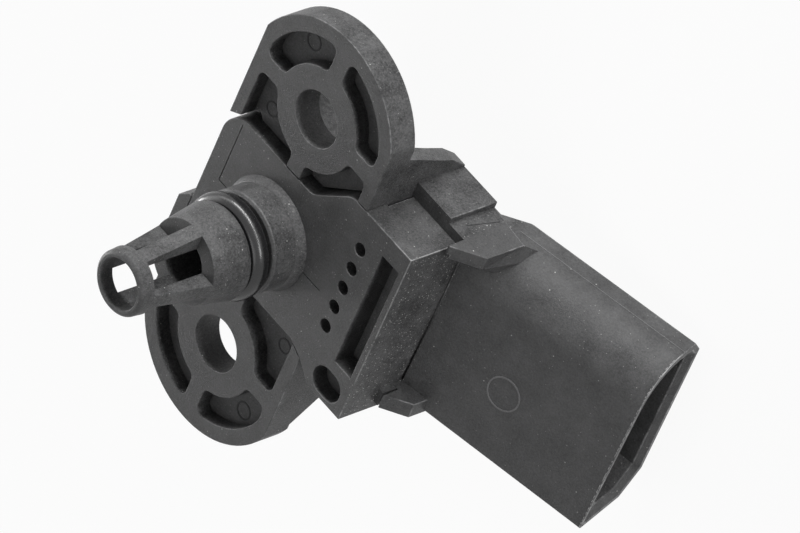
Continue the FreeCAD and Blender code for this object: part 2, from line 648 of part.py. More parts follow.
def jog_corner(edge):
    """Whether an edge is one of the two upright corners of the plate's stepped side."""
    if not upright(edge, -z.recess_depth.value, 0.0):
        return False
    point = edge.Vertexes[0].Point
    return z.jog_from.value - 0.1 < point.x < z.jog_to.value + 0.1 and point.y > 0


soften("Fillet", port_plate, "jog_rounds", z.jog_round, jog_corner)


# seal ring: round outside, its inner side pressed flat on the groove
o_ring = new_body("o_ring")
sketch = new_sketch(o_ring, "ring_section", "XZ_Plane")
outline(sketch, [(z.ring_centre, z.ring_height - z.ring_section),
                 (z.ring_centre, z.ring_height + z.ring_section),
                 (z.groove_radius, z.ring_height + z.ring_flat),
                 (z.groove_radius, z.ring_height - z.ring_flat)],
        {0: (None, (z.ring_centre, z.ring_height), True)})
turned(o_ring, "ring", sketch)

# adhesive between the port plate and the housing
port_seal = new_body("port_seal")
sketch = new_sketch(port_seal, "port_seal_outline", at=(0, 0, -z.recess_depth - z.bead_depth))
circle(sketch, 0, 0, z.bead_in)
circle(sketch, 0, 0, z.bead_out)
pad(port_seal, "port_bead", sketch, z.bead_depth)

# back cover
back_cover = new_body("back_cover")
sketch = new_sketch(back_cover, "cover_outline", at=(0, 0, -z.body_back))
space_outline(sketch, z.cover_margin - z.cover_gap)
pad(back_cover, "cover_sheet", sketch, z.cover_thick)
cover_seal = new_body("cover_seal")
sketch = new_sketch(cover_seal, "cover_seal_outline", at=(0, 0, -z.body_back))
space_outline(sketch, z.cover_margin)
space_outline(sketch, z.cover_margin - z.cover_gap)
pad(cover_seal, "cover_bead", sketch, z.cover_thick - z.cover_sink)

# circuit board
circuit_board = new_body("circuit_board")
sketch = new_sketch(circuit_board, "board_outline", at=(0, 0, -z.board_top - z.board_thick))
space_outline(sketch, -z.board_gap)
tail_spots = [(z.tail_x, y) for y in blade_rows]
lead_spots = [(-z.lead_x, -z.lead_half), (-z.lead_x, z.lead_half)]
for x, y in tail_spots:
    circle(sketch, x, y, z.tail_hole)
for x, y in lead_spots:
    circle(sketch, x, y, z.lead_radius)
pad(circuit_board, "board_sheet", sketch, z.board_thick)

# pressure cell in the middle of the board: frame, glass base, chip and gel
cell_frame = new_body("cell_frame")
sketch = new_sketch(cell_frame, "cell_frame_outline", at=(0, 0, -z.board_top))
circle(sketch, 0, 0, z.cell_radius)
circle(sketch, 0, 0, z.cell_radius - z.cell_wall)
pad(cell_frame, "cell_ring", sketch, z.cell_height)
glass_base = new_body("glass_base")
sketch = new_sketch(glass_base, "glass_base_outline", at=(0, 0, -z.board_top))
half = z.base_size / 2
box(sketch, -half, -half, half, half)
pad(glass_base, "base_block", sketch, z.base_height)
pressure_chip = new_body("pressure_chip")
sketch = new_sketch(pressure_chip, "pressure_chip_outline", at=(0, 0, z.base_height - z.board_top))
half_chip = z.chip_size / 2
box(sketch, -half_chip, -half_chip, half_chip, half_chip)
pad(pressure_chip, "chip_block", sketch, z.chip_height)
cell_gel = new_body("cell_gel")
sketch = new_sketch(cell_gel, "cell_gel_outline", at=(0, 0, -z.board_top))
circle(sketch, 0, 0, z.cell_radius - z.cell_wall)
pad(cell_gel, "gel_fill", sketch, z.gel_height)
sketch = new_sketch(cell_gel, "gel_base_outline", at=(0, 0, -z.board_top))
box(sketch, -half, -half, half, half)
pocket(cell_gel, "gel_round_base", sketch, z.base_height, True)
sketch = new_sketch(cell_gel, "gel_chip_outline", at=(0, 0, z.base_height - z.board_top))
box(sketch, -half_chip, -half_chip, half_chip, half_chip)
pocket(cell_gel, "gel_round_chip", sketch, z.chip_height, True)

# signal chip and capacitors: place of the centre and size along X, Y and Z
SMALL_PARTS = {
    "signal_chip": (6.6, 0.0, 3.6, 4.4, 1.1),
    "capacitor_1": (7.2, 4.9, 2.0, 1.25, 0.8),
    "capacitor_2": (7.2, -4.9, 2.0, 1.25, 0.8),
    "capacitor_3": (-3.0, 5.6, 1.6, 0.8, 0.7),
    "capacitor_4": (-3.0, -5.6, 1.6, 0.8, 0.7),
}
for name, (x, y, long, wide, high) in SMALL_PARTS.items():
    body = new_body(name)
    sketch = new_sketch(body, name + "_outline", at=(0, 0, -z.board_top))
    box(sketch, x - long / 2, y - wide / 2, x + long / 2, y + wide / 2)
    pad(body, name + "_block", sketch, high)

# terminals: a blade in the socket, a run inside the body and a tail through the board
tip_x = z.side_x + z.blade_tip * tilt_cos
tip_z = -z.shroud_depth - z.blade_tip * tilt_sin
tail_top = z.tail_above - z.board_top
half_thick = z.blade_thick / 2
offset_top = (z.blade_level - half_thick)
offset_low = (z.blade_level + half_thick)
top_drop = (z.run_level - z.shroud_depth - half_thick) * tilt_cos
low_drop = (z.run_level - z.shroud_depth + half_thick) * tilt_cos
top_bend = z.side_x + (top_drop - offset_top) / tilt_sin
low_bend = z.side_x + (low_drop - offset_low) / tilt_sin
for number, y in enumerate(blade_rows, start=1):
    body = new_body("terminal_%d" % number)
    sketch = new_sketch(body, "blade_profile_%d" % number, "XZ_Plane",
                        at=(0, 0, -(y + z.blade_width / 2)))
    outline(sketch, [(tip_x - offset_top * tilt_sin, tip_z - offset_top * tilt_cos),
                     (top_bend, half_thick - z.run_level),
                     (z.tail_x - half_thick, half_thick - z.run_level),
                     (z.tail_x - half_thick, -half_thick - z.run_level),
                     (low_bend, -half_thick - z.run_level),
                     (tip_x - offset_low * tilt_sin, tip_z - offset_low * tilt_cos)])
    pad(body, "blade_%d" % number, sketch, z.blade_width)
    sketch = new_sketch(body, "tail_profile_%d" % number, "XY_Plane", at=(0, 0, -z.run_level))
    box(sketch, z.tail_x - half_thick, y - z.tail_width / 2, z.tail_x + half_thick,
        y + z.tail_width / 2)
    pad(body, "tail_%d" % number, sketch, z.run_level + tail_top)

# solder round each tail on the board
for number, y in enumerate(blade_rows, start=1):
    body = new_body("solder_%d" % number)
    sketch = new_sketch(body, "solder_outline_%d" % number, at=(0, 0, -z.board_top))
    circle(sketch, z.tail_x, y, z.solder_radius)
    box(sketch, z.tail_x - half_thick, y - z.tail_width / 2, z.tail_x + half_thick,
        y + z.tail_width / 2)
    pad(body, "solder_ring_%d" % number, sketch, z.solder_height)

# thermistor: a bead on the nozzle's axis, and two leads down to the board
ntc_bead = new_body("ntc_bead")
sketch = new_sketch(ntc_bead, "bead_profile", "XZ_Plane")
low = z.ntc_height - z.ntc_length / 2
high = z.ntc_height + z.ntc_length / 2
shoulder = z.ntc_shoulder
outline(sketch, [(0, low), (shoulder, low), (z.ntc_radius, low + shoulder),
                 (z.ntc_radius, high - shoulder), (shoulder, high), (0, high)])
turned(ntc_bead, "bead", sketch)
for number, side in enumerate((-1, 1), start=1):
    body = new_body("ntc_lead_%d" % number)
    y = z.lead_half * side
    path = new_sketch(body, "lead_path_%d" % number, "XZ_Plane", at=(0, 0, -y))
    stops = [(0, low), (0, -z.lead_level), (-z.lead_x, -z.lead_level),
             (-z.lead_x, -z.board_top - z.board_thick)]
    for start, stop in zip(stops, stops[1:]):
        ends = [FreeCAD.Vector(Dim.of(u).value, Dim.of(v).value, 0) for u, v in (start, stop)]
        geo = path.addGeometry(Part.LineSegment(*ends))
        if geo:
            path.addConstraint(Sketcher.Constraint("Coincident", geo - 1, 2, geo, 1))
        pin_point(path, geo, 1, *start)
    pin_point(path, geo, 2, *stops[-1])
    ring = new_sketch(body, "lead_section_%d" % number, at=(0, 0, low))
    circle(ring, 0, y, z.lead_radius)
    pipe = body.newObject("PartDesign::AdditivePipe", "lead_%d" % number)
    pipe.Profile = ring
    pipe.Spine = path
    pipe.Transition = "Right corner"
    doc.recompute()

# every object must be sound before anything is written
doc.recompute()
broken = [item.Name for item in doc.Objects if "Invalid" in item.State or "Error" in item.State]
if broken:
    raise RuntimeError("not sound: %s" % ", ".join(broken))
os.makedirs("parts", exist_ok=True)
pieces = [item for item in doc.Objects if item.TypeId == "PartDesign::Body"]
for piece in pieces:
    shape = piece.Shape
    if shape.isNull() or not shape.isValid() or len(shape.Solids) != 1:
        raise RuntimeError("%s isn't one sound solid" % piece.Label)
for piece in pieces:
    piece.Shape.exportStep(os.path.join("parts", piece.Label + ".step"))
print("%d pieces written" % len(pieces))
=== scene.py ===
import math
import random

import bmesh
import bpy
from mathutils import Matrix, Vector


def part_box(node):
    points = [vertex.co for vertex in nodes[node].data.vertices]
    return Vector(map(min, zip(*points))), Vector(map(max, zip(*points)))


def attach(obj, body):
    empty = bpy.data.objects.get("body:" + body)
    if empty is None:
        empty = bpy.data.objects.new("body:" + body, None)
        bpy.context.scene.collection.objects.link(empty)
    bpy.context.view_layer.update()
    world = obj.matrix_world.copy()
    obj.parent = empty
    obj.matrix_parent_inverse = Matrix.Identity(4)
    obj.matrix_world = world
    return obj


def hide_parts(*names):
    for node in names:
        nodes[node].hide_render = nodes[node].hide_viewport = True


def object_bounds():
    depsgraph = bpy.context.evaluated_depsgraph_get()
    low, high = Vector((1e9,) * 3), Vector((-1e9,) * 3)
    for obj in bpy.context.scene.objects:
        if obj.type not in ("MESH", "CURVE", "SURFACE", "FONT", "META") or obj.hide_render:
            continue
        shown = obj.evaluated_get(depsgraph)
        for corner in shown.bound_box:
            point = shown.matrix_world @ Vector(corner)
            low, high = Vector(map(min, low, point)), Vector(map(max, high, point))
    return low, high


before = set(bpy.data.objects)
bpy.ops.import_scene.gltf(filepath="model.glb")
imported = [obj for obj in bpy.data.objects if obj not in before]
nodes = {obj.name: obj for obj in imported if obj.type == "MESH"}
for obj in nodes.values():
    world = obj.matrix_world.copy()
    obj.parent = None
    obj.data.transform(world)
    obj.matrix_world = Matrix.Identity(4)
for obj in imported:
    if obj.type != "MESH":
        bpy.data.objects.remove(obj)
cad_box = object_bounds()
MM = 0.001

# Housing: one moulding of black glass-filled nylon with two ribbed screw ears, the raised block and
# lugs at its side, and the slanted shroud of the plug socket. The mould leaves a fine grain on its
# skin, dust clings to it, and handling has rubbed its edges a little brighter.
EDGE = 0.11 * MM
MERGE_DISTANCE = 0.0005 * MM
FLAT_TURN = math.radians(0.3)
EDGE_TURN = math.radians(28)
SMOOTH_TURN = math.radians(32)
SIDE_X = 19.28 * MM
SIDE_BAND = 0.4 * MM
GRAINED_TO = 19.4 * MM
BLOCK_JOINT = -7.0 * MM
SCREW_Y = 18 * MM
EAR_RIM_FROM = 11.3 * MM
SHROUD_TILT = math.radians(14.6)
SHROUD_START = Vector((19.28, 0, -8.3)) * MM
SHROUD_LENGTH = 26.4 * MM
shroud_way = Vector((math.cos(SHROUD_TILT), 0, -math.sin(SHROUD_TILT)))

LEVEL = 0.9
UPRIGHT = 0.3
GRAIN_FADE = 0.3 * MM
GRAIN_SIZE = 0.26 * MM
GRAIN_DEPTH = 0.022 * MM
SCUFF_SIZE = 0.22 * MM
CLOUD_SIZE = 3 * MM
WEAR_SIZE = 6 * MM
NICK_SIZE = 0.6 * MM
MOUTH_WEAR = 6
EAR_WEAR = 0.4
RUBBED_FADE = 3 * MM
RUBBED_COLOUR = (0.16, 0.16, 0.162)
TORN_COLOUR = (0.32, 0.32, 0.32)

# Dust: how far apart its specks may lie, and their radius.
SPECKS = (1.1 * MM, 0.09 * MM)
FINE_SPECKS = (0.5 * MM, 0.06 * MM)
DENSE_SPECKS = (0.42 * MM, 0.08 * MM)
DENSE_SHARE = 0.8
DUST_COLOUR = (0.36, 0.36, 0.35)


class Wire:
    """An output socket of a node tree. Arithmetic on it adds Math nodes, and add() any other node."""

    def __init__(self, tree, socket=None):
        self.tree = tree
        self.socket = socket

    def add(self, kind, inputs=(), settings=(), out=0):
        """A new node of this kind, with its settings and then the values or links of its sockets."""
        node = self.tree.nodes.new(kind)
        for name, value in dict(settings).items():
            setattr(node, name, value)
        for name, value in dict(inputs).items():
            if isinstance(value, Wire):
                self.tree.links.new(value.socket, node.inputs[name])
            else:
                node.inputs[name].default_value = value
        return Wire(self.tree, node.outputs[out] if node.outputs else None)

    def math(self, operation, first, second=0.0):
        return self.add("ShaderNodeMath", {0: first, 1: second}, {"operation": operation})

    def __add__(self, other):
        return self.math("ADD", self, other)

    def __radd__(self, other):
        return self.math("ADD", other, self)

    def __sub__(self, other):
        return self.math("SUBTRACT", self, other)

    def __rsub__(self, other):
        return self.math("SUBTRACT", other, self)

    def __mul__(self, other):
        return self.math("MULTIPLY", self, other)

    def __rmul__(self, other):
        return self.math("MULTIPLY", other, self)

    def place(self):
        """Object coordinates, in metres."""
        return self.add("ShaderNodeTexCoord", out="Object")

    def along(self, axis):
        """One coordinate of this vector, by its letter or its number."""
        return self.add("ShaderNodeSeparateXYZ", {0: self}, out=axis)

    def noise(self, size, detail=2.0, rough=0.5, stretch=(1, 1, 1)):
        """Noise from 0 to 1 whose grains are about size metres across, times stretch."""
        scaled = self.add("ShaderNodeVectorMath", {0: self.place(), 1: [1 / way for way in stretch]},
                          {"operation": "MULTIPLY"})
        return self.add("ShaderNodeTexNoise", {"Vector": scaled, "Scale": 1 / size, "Detail": detail,
                                               "Roughness": rough})

    def dots(self, apart, radius, share):
        """1 in round dots of this radius, on a share of scattered points about apart metres apart."""
        cells = {"Vector": self.place(), "Scale": 1 / apart}
        middle = self.add("ShaderNodeTexVoronoi", cells, out="Distance")
        chosen = self.add("ShaderNodeTexVoronoi", cells, out="Color")
        return middle.step(radius / apart, 0.6 * radius / apart) * chosen.step(1 - share, 1 - 0.8 * share)

    def between(self, factor, first, second):
        """The first colour where factor is 0 and the second where it is 1."""
        colours = {key: value if isinstance(value, Wire) else (*value, 1)
                   for key, value in ((6, first), (7, second))}
        return self.add("ShaderNodeMix", {0: factor, **colours}, {"data_type": "RGBA"}, 2)

    def step(self, low, high):
        """A number from 0 where this value is low to 1 where it is high."""
        return self.add("ShaderNodeMapRange", {0: self, 1: low, 2: high})

    def bump(self, height, depth):
        return self.add("ShaderNodeBump", {"Height": height, "Strength": 1.0, "Distance": depth},
                        out="Normal")


def new_material(name):
    """A material with nothing in it, and a Wire into its tree."""
    material = bpy.data.materials.new(name)
    material.use_nodes = True
    material.node_tree.nodes.clear()
    return material, Wire(material.node_tree)


def surfaced(material, wire, inputs):
    """The material, with a Principled shader that has these inputs."""
    shader = wire.add("ShaderNodeBsdfPrincipled", inputs, out="BSDF")
    wire.add("ShaderNodeOutputMaterial", {"Surface": shader})
    return material


def moulded_plastic(name, dark, light, rough=0.5, dust=0.0, rubbed_to=1.0):
    """Black nylon: fine grain, cloudy patches, specks of dust, and edges rubbed up to a height. The
    grain is coarser on the walls, which slid along the steel as the mould opened, and dust lies
    thickest on the side face beside the plate's slot. Where the wear passes 2, the skin is torn."""
    material, wire = new_material(name)
    across = wire.place().along("X")
    height = wire.place().along("Z")
    facing = wire.math("ABSOLUTE", wire.add("ShaderNodeTexCoord", out="Normal").along("Z"))
    wall = facing.step(LEVEL, UPRIGHT) * across.step(GRAINED_TO + GRAIN_FADE, GRAINED_TO)
    side = across.step(SIDE_X - SIDE_BAND, SIDE_X) * across.step(SIDE_X + SIDE_BAND, SIDE_X)

    # Each noise gets its contrast from the two values of step.
    grain = wire.noise(GRAIN_SIZE, 4.0, 0.8).step(0.32, 0.68)
    clouds = wire.noise(CLOUD_SIZE, 5.0, 0.65).step(0.3, 0.7)
    scuffs = wire.noise(SCUFF_SIZE, 3.0, 0.7, stretch=(1, 1, 2)).step(0.35, 0.65)
    mottle = 0.45 * clouds + 0.55 * grain
    coarse = wall * (0.8 * (mottle - 0.5) + 0.25 * (scuffs - 0.5))

    patchy = 0.15 + 0.85 * wire.noise(WEAR_SIZE, 2.0).step(0.45, 0.53)
    nicked = 0.25 + 0.75 * wire.noise(NICK_SIZE, 3.0).step(0.42, 0.58)
    edges = wire.add("ShaderNodeAttribute", settings={"attribute_name": "worn"}, out="Fac")
    worn = edges * patchy * nicked * height.step(rubbed_to + RUBBED_FADE, rubbed_to)
    specks = (wire.dots(*SPECKS, dust) + 0.6 * wire.dots(*FINE_SPECKS, dust)
              + (0.18 * wall + 1.3 * side) * wire.dots(*DENSE_SPECKS, DENSE_SHARE))

    tone = wire.between(mottle + coarse, dark, light)
    tone = wire.between(worn, tone, RUBBED_COLOUR)
    tone = wire.between(0.25 * worn - 0.5, tone, TORN_COLOUR)
    tone = wire.between(specks, tone, DUST_COLOUR)
    return surfaced(material, wire, {
        "Base Color": tone, "Specular IOR Level": 0.3, "Normal": wire.bump(grain, GRAIN_DEPTH),
        "Roughness": rough + 0.1 * (clouds - 0.5) - 0.1 * wire.math("MINIMUM", worn, 1)})


def outward_edges(shape, narrow):
    """The edges where faces meet outwards at more than EDGE_TURN, but for those beside a narrow strip
    or at the joint of the plate's block and the housing, whose faces are flush."""
    strips = {}
    for first in shape.faces:
        if first in strips:
            continue
        strip = strips[first] = [first]
        for face in strip:
            for edge in face.edges:
                if edge.is_manifold and edge.calc_face_angle() < EDGE_TURN:
                    fresh = [other for other in edge.link_faces if other not in strips]
                    strips.update((other, strip) for other in fresh)
                    strip.extend(fresh)
    wide = set()
    for strip in {id(strip): strip for strip in strips.values()}.values():
        rim = sum(edge.calc_length() for face in strip for edge in face.edges
                  if any(strips[other] is not strip for other in edge.link_faces))
        if 2 * sum(face.calc_area() for face in strip) > narrow * rim:
            wide.update(strip)
    return [edge for edge in shape.edges if edge.is_manifold and edge.calc_face_angle_signed() > EDGE_TURN
            and all(face in wide for face in edge.link_faces)
            and any(abs(end.co.z - BLOCK_JOINT) > 0.01 * MM for end in edge.verts)]


def shown(name, shape, slot, material, *replaced):
    """Makes a finished shape a piece on the sensor's body, smooth across all but its sharp edges."""
    for face in shape.faces:
        face.smooth = True
    for edge in shape.edges:
        edge.smooth = not edge.is_manifold or edge.calc_face_angle() < SMOOTH_TURN
    mesh = bpy.data.meshes.new(name)
    shape.to_mesh(mesh)
    shape.free()
    mesh.materials.append(material)
    piece = bpy.data.objects.new(name, mesh)
    bpy.context.scene.collection.objects.link(piece)
    weighted = piece.modifiers.new("flat_faces_lead", "WEIGHTED_NORMAL")
    weighted.keep_sharp = True
    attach(piece, "root")
    if replaced:
        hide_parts(*replaced)
    return piece


def softened(name, slot, material, rubbed):
    """Stands in for a CAD node: its merged mesh with its outer edges rounded, and rubbed there as much
    as rubbed gives for the middle of a face."""
    shape = bmesh.new()
    shape.from_mesh(nodes[name].data)
    bmesh.ops.remove_doubles(shape, verts=shape.verts, dist=MERGE_DISTANCE)
    bmesh.ops.dissolve_limit(shape, angle_limit=FLAT_TURN, verts=shape.verts, edges=shape.edges)
    worn = shape.faces.layers.float.new("worn")
    rounded = bmesh.ops.bevel(shape, geom=outward_edges(shape, 3 * EDGE), offset=EDGE,
                              offset_type="OFFSET", segments=2, profile=0.5, affect="EDGES",
                              material=-1, clamp_overlap=False)
    for face in rounded["faces"]:
        face[worn] = rubbed(face.calc_center_median())
    return shown(name + "_skin", shape, slot, material, name)


def housing_rubbed(middle):
    """Most at the shroud's mouth, and least round the ears' pockets and screw holes."""
    if (middle - SHROUD_START).dot(shroud_way) > SHROUD_LENGTH - 2 * EDGE:
        return MOUTH_WEAR
    return EAR_WEAR if math.hypot(middle.x, abs(middle.y) - SCREW_Y) < EAR_RIM_FROM else 1


nylon = moulded_plastic("grained_nylon", (0.014, 0.014, 0.0145), (0.086, 0.086, 0.087), dust=0.4)
housing = softened("housing", "housing_plastic", nylon, housing_rubbed)

# Torn flash: the thin skin of plastic that the mould leaves along the front edge of the shroud's mouth,
# moulded with the housing. Each scrap stands up from the edge by its own height.
FLASH_STEP = 0.32 * MM
FLASH_HALF = 0.03 * MM
FLASH_HEIGHT = 0.14 * MM
RIM_LEAN = 0.2
chance = random.Random(7)
shroud_front = Vector((math.sin(SHROUD_TILT), 0, math.cos(SHROUD_TILT)))
flash = bmesh.new()
for face in housing.data.polygons:
    past = (face.center - SHROUD_START).dot(shroud_way)
    if (past < SHROUD_LENGTH - EDGE or face.normal.dot(shroud_front) < RIM_LEAN
            or face.normal.dot(shroud_way) < RIM_LEAN):
        continue
    corners = sorted((housing.data.vertices[k].co for k in face.vertices), key=lambda corner: corner.y)
    start, end = (corners[0] + corners[1]) / 2, (corners[-1] + corners[-2]) / 2
    up = (face.normal - shroud_way * face.normal.dot(shroud_way)).normalized()
    along = end - start
    for k in range(int(along.length / FLASH_STEP)):
        middle = start + along * (k + chance.random()) * FLASH_STEP / along.length - shroud_way * EDGE
        half = along.normalized() * FLASH_STEP * chance.uniform(0.3, 1.1)
        peak = up * FLASH_HEIGHT * chance.random() ** 2 + half * chance.uniform(-0.6, 0.6)
        scrap = [flash.verts.new(middle + shift + side * shroud_way * FLASH_HALF)
                 for shift in (-half, half, peak) for side in (-1, 1)]
        bmesh.ops.convex_hull(flash, input=scrap)
bmesh.ops.recalc_face_normals(flash, faces=flash.faces)
shown("mouth_flash", flash, "housing_plastic",
      moulded_plastic("torn_nylon", (0.14, 0.14, 0.141), (0.4, 0.4, 0.4)))

# Webs of the lugs, moulded with the housing: a slanted one that runs from the upper lug's end down
# onto the round of the shroud, and a block that closes the lower lug against the side.
UPPER_WEB = ((22.9, 13.6, -7.9), (23.25, 13.6, -7.9), (23.25, 15.33, -13.38), (22.9, 13.4, -13.4),
             (22.9, 11.6, -11.0), (23.4, 12.5, -12.0), (24.0, 13.4, -13.6), (23.8, 14.1, -15.7))
LOWER_WEB = Vector((19.55, -9.3, -6.15)) * MM
LOWER_WEB_SIZE = Vector((0.9, 2.0, 2.5)) * MM
webs = bmesh.new()
bmesh.ops.convex_hull(webs, input=[webs.verts.new(Vector(corner) * MM) for corner in UPPER_WEB])
bmesh.ops.create_cube(webs, size=1, matrix=Matrix.LocRotScale(LOWER_WEB, None, LOWER_WEB_SIZE))
bmesh.ops.recalc_face_normals(webs, faces=webs.faces)
shown("lug_webs", webs, "housing_plastic", nylon)

# Mould marks: the rings that the ejector pins leave in the ears' pockets and on the shroud, and the
# fine lines where the mould's halves met along the shroud and over the lug. They stand on the housing.
# Their colour is painted light: those in the pockets and over the lug are painted near black as painted
# shade, and those on the shroud are painted lighter as a painted highlight.
MARK_WIDTH = 0.2 * MM
MARK_HEIGHT = 0.05 * MM
LINE_WIDTH = 0.07 * MM
LINE_HEIGHT = 0.04 * MM
POCKET_FLOOR = -2.0 * MM
RING_STEPS = 64
OUTER_PIN = Vector((-5.86, 24.0, 0)) * MM
OUTER_PIN_RADIUS = 1.05 * MM
INNER_PIN = Vector((-7.3, 12.0, 0)) * MM
INNER_PIN_RADIUS = 0.9 * MM
SHROUD_PIN = Vector((30.27, -0.96, -11.556)) * MM
SHROUD_PIN_RADIUS = 2.1 * MM
SHROUD_FACE_UP = Vector((0.25, 0.04, 0.967)).normalized()
SHROUD_LINE = (Vector((20.5, 14.08, -15.75)) * MM, Vector((43.2, 14.49, -21.55)) * MM)
LUG_LINE = (Vector((18.2, 15.35, -8.8)) * MM, Vector((19.2, 15.35, -13.1)) * MM)
marks = bmesh.new()


def pin_ring(centre, radius, up=Vector((0, 0, 1))):
    """A low ring round the centre, lying on a face whose normal is up."""
    inner, outer = radius - MARK_WIDTH / 2, radius + MARK_WIDTH / 2
    section = [marks.verts.new((x, 0, z)) for x, z in ((inner, -MARK_HEIGHT), (inner, MARK_HEIGHT),
                                                       (outer, MARK_HEIGHT), (outer, -MARK_HEIGHT))]
    edges = [marks.edges.new((section[k - 1], section[k])) for k in range(4)]
    made = set(marks.verts)
    bmesh.ops.spin(marks, geom=[*section, *edges], axis=(0, 0, 1), cent=(0, 0, 0), angle=math.tau,
                   steps=RING_STEPS, use_merge=True)
    ring = [vert for vert in marks.verts if vert in section or vert not in made]
    bmesh.ops.rotate(marks, verts=ring, cent=(0, 0, 0),
                     matrix=Vector((0, 0, 1)).rotation_difference(up).to_matrix())
    bmesh.ops.translate(marks, verts=ring, vec=centre)


def mould_line(start, end, up=Vector((0, 1, 0))):
    """A fine straight ridge between two points of a face whose normal is up."""
    along = (end - start).normalized()
    turn = Matrix((along, up.cross(along).normalized(), up)).transposed().to_4x4()
    size = Matrix.Diagonal(((end - start).length, LINE_WIDTH, LINE_HEIGHT * 2, 1))
    bmesh.ops.create_cube(marks, size=1, matrix=Matrix.Translation((start + end) / 2) @ turn @ size)


pocket_floor = Vector((0, 0, POCKET_FLOOR))
for side in (1, -1):
    pin_ring(side * OUTER_PIN + pocket_floor, OUTER_PIN_RADIUS)
    pin_ring(side * INNER_PIN + pocket_floor, INNER_PIN_RADIUS)
pin_ring(SHROUD_PIN, SHROUD_PIN_RADIUS, SHROUD_FACE_UP)
mould_line(*SHROUD_LINE)
mould_line(*LUG_LINE)
bmesh.ops.recalc_face_normals(marks, faces=marks.faces)
# Painted shade: the pin rings in the pockets and the line over the lug are coloured near black.
mould_marks_painted_light = shown("mould_marks_painted_light", marks, "housing_plastic", moulded_plastic(
    "painted_shade_nylon", (0.006, 0.006, 0.0065), (0.025, 0.025, 0.026), rough=0.6))
# Painted highlight: the ring and the parting line on the shroud take this lighter colour.
mould_marks_painted_light.data.materials.append(
    moulded_plastic("painted_highlight_nylon", (0.09, 0.09, 0.091), (0.17, 0.17, 0.172)))
# Marks past the side face, on the shroud, take the painted highlight; the rest keep the painted shade.
for face in mould_marks_painted_light.data.polygons:
    face.material_index = int(face.center.x > SIDE_X + MM)

# Port plate: moulded from the same plastic, with the boss, the ring groove and the caged nozzle on it
# and the slot, the eye and the row of holes in it. It is bonded into the recess of the housing's front.
PLATE_SIDE = 19.0 * MM
PLATE_CORNER = Vector((10, 13)) * MM
SIDE_WEAR = 4
PLATE_WEAR = 0.45


def plate_rubbed(middle):
    """Most along the side beside the slot and the edge that slants up from it."""
    at_corner = middle.x > PLATE_CORNER.x and middle.y > PLATE_CORNER.y
    return SIDE_WEAR if middle.x > PLATE_SIDE or at_corner else PLATE_WEAR


plate_nylon = moulded_plastic("plate_nylon", (0.018, 0.018, 0.0185), (0.088, 0.088, 0.089), dust=0.7,
                              rubbed_to=6 * MM)
softened("port_plate", "plate_plastic", plate_nylon, plate_rubbed)


# Seal ring: moulded fluoro rubber, stretched over the boss into its groove, with a thin shine of oil
# from fitting. It seals the nozzle in its port.
def finish_node(name, material, edge=0.0):
    """Gives a CAD node its material, and rounds its edges by edge."""
    mesh = nodes[name].data
    mesh.materials.clear()
    mesh.materials.append(material)
    if edge:
        merged = nodes[name].modifiers.new("merged", "WELD")
        merged.merge_threshold = MERGE_DISTANCE
        rounding = nodes[name].modifiers.new("rounding", "BEVEL")
        rounding.width = edge
        rounding.segments = 2
        rounding.limit_method = "ANGLE"
        rounding.harden_normals = True


def ring_rubber():
    material, wire = new_material("ring_rubber")
    haze = wire.noise(0.5 * MM, 3.0)
    return surfaced(material, wire, {
        "Base Color": (0.01, 0.01, 0.0105, 1), "Roughness": 0.2 + 0.12 * haze,
        "Normal": wire.bump(haze, 0.006 * MM)})


finish_node("o_ring", ring_rubber())


# Adhesive: black silicone, laid as a bead in the groove under the port plate and in the joint of the
# back cover, and squeezed flat when they are pressed home.
def plain(name, colour, rough, size=0.5 * MM, metal=0.0, bump=0.0, **others):
    """One even material whose gloss and tone vary a little."""
    material, wire = new_material(name)
    haze = wire.noise(size, 3.0)
    tone = wire.between(haze.step(0.3, 0.7), [part * 0.85 for part in colour], colour)
    return surfaced(material, wire, {
        "Base Color": tone, "Roughness": rough + 0.1 * (haze - 0.5), "Metallic": metal,
        "Normal": wire.bump(haze, bump), **others})


silicone = plain("black_silicone", (0.03, 0.03, 0.032), 0.35, bump=0.02 * MM)
finish_node("port_seal", silicone)
finish_node("cover_seal", silicone)

# Back cover: a flat lid moulded from black nylon, which closes the back of the housing. It is glued in
# once the board is in place.
cover_nylon = moulded_plastic("cover_nylon", (0.045, 0.045, 0.046), (0.062, 0.062, 0.063), rough=0.52,
                              dust=0.3)
finish_node("back_cover", cover_nylon, edge=0.1 * MM)

# Circuit board: glass-epoxy laminate under a green solder mask, routed to its outline and laid on the
# housing's posts.
board_mask = plain("board_mask", (0.025, 0.16, 0.07), 0.35, size=1.5 * MM)
finish_node("circuit_board", board_mask, edge=0.04 * MM)

# Pressure cell: a moulded frame on the board with a glass base in it, the silicon chip bonded on that,
# and a clear gel poured over both.
cell_plastic = plain("cell_plastic", (0.06, 0.06, 0.063), 0.45, bump=0.01 * MM)
finish_node("cell_frame", cell_plastic, edge=0.06 * MM)
cell_glass = plain("cell_glass", (0.75, 0.82, 0.8), 0.08)
finish_node("glass_base", cell_glass)
etched_silicon = plain("etched_silicon", (0.28, 0.3, 0.36), 0.18, metal=0.9)
finish_node("pressure_chip", etched_silicon)
clear_gel = plain("clear_gel", (0.85, 0.88, 0.9), 0.06, IOR=1.4, **{"Transmission Weight": 0.95})
finish_node("cell_gel", clear_gel)

# Signal chip: a package moulded from black epoxy, soldered to the board beside the cell. Its skin is
# matt, with a very fine grain.
chip_epoxy = plain("chip_epoxy", (0.025, 0.025, 0.027), 0.45, size=0.15 * MM, bump=0.01 * MM)
finish_node("signal_chip", chip_epoxy, edge=0.06 * MM)

# Capacitors: fired blocks of tan ceramic, whose ends are dipped and tinned. The caps take a bit less
# than half of the length, and are soldered to the board.
CAP_FROM = 0.56
CAP_FULL = 0.6


